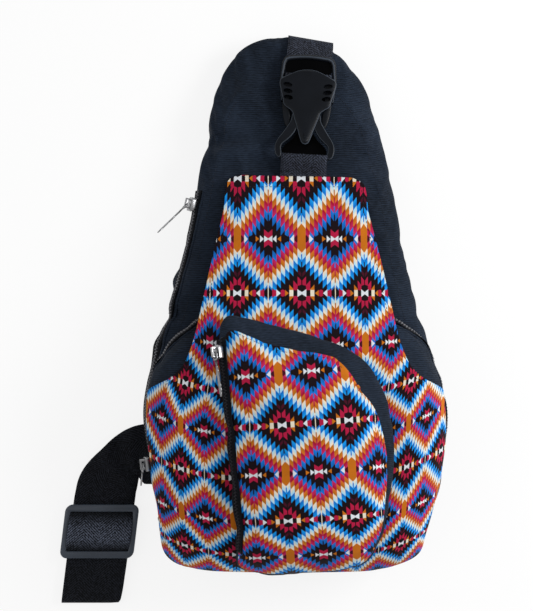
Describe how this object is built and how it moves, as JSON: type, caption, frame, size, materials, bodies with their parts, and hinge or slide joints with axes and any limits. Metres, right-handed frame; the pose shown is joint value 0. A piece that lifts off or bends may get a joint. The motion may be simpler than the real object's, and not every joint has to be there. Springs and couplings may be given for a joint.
{
  "type": "sling backpack",
  "caption": "Teardrop sling backpack in dark canvas, with a printed bib and slanted zip pocket, a side release buckle, a wide shoulder strap and a three-bar slider.",
  "frame": {"origin": "on the resting face of the padded back panel, on the bag's centre line, 41 mm above its bottom edge", "axes": "+Z out of the bag's front, +Y to the bag's top, +X to the right seen from the front; the bag lies on its back"},
  "size_m": [0.3133, 0.4701, 0.1222],
  "materials": {
    "canvas": "ribbed cotton canvas",
    "padding": "padded mesh cloth",
    "print": "woven cotton with a printed lattice",
    "webbing": "twill webbing",
    "zip_cloth": "zip tape",
    "coil": "nylon coil",
    "plastic": "moulded, satin",
    "nickel": "nickel plate"
  },
  "bodies": {
    "bag": {"back_panel": "padding", "main_gusset": "canvas", "main_front_panel": "canvas", "front_gusset": "canvas", "front_face": "canvas", "bib_panel": "print", "pocket_gusset": "canvas", "pocket_face": "print", "main_zip_tape": "zip_cloth", "main_zip_chain": "coil", "front_zip_tape": "zip_cloth", "front_zip_chain": "coil", "pocket_zip_tape": "zip_cloth", "pocket_zip_chain": "coil", "top_webbing": "webbing", "lower_webbing": "webbing", "shoulder_strap": "webbing", "buckle_socket": "plastic"},
    "plug": {"buckle_plug": "plastic"},
    "glide": {"strap_slider": "plastic"},
    "main_slider": {"main_zip_slider": "nickel"},
    "main_pull": {"main_zip_pull": "nickel"},
    "front_slider": {"front_zip_slider": "nickel"},
    "front_pull": {"front_zip_pull": "nickel"},
    "pocket_slider": {"pocket_zip_slider": "nickel"},
    "pocket_pull": {"pocket_zip_pull": "nickel"}
  },
  "joints": [
    {"name": "buckle_release", "type": "slide", "parent": "bag", "child": "plug", "axis": [0.0553, 0.9894, -0.1344], "range_m": [0, 0.032], "deforming": ["top_webbing"]},
    {"name": "strap_adjust", "type": "slide", "parent": "bag", "child": "glide", "axis": [-0.1219, -0.9925, 0], "range_m": [-0.012, 0.03]},
    {"name": "main_zip_run", "type": "slide", "parent": "bag", "child": "main_slider", "axis": [-0.2158, -0.975, 0.0531], "range_m": [0, 0.06]},
    {"name": "main_pull_swing", "type": "hinge", "parent": "main_slider", "child": "main_pull", "pos_m": [-0.08712, 0.25169, 0.03194], "axis": [-0.345, 0.0253, -0.9383], "range_deg": [-30, 110]},
    {"name": "front_zip_run", "type": "slide", "parent": "bag", "child": "front_slider", "axis": [-0.0965, 0.9907, 0.0955], "range_m": [0, 0.03]},
    {"name": "front_pull_swing", "type": "hinge", "parent": "front_slider", "child": "front_pull", "pos_m": [-0.12155, 0.04287, 0.06198], "axis": [-0.2508, 0.0687, -0.9656], "range_deg": [-8, 120]},
    {"name": "pocket_zip_run", "type": "slide", "parent": "bag", "child": "pocket_slider", "axis": [0.1283, -0.9647, 0.2299], "range_m": [0, 0.03]},
    {"name": "pocket_pull_swing", "type": "hinge", "parent": "pocket_slider", "child": "pocket_pull", "pos_m": [-0.06375, 0.13275, 0.10404], "axis": [-0.6175, -0.2591, -0.7427], "range_deg": [0, 150]}
  ]
}
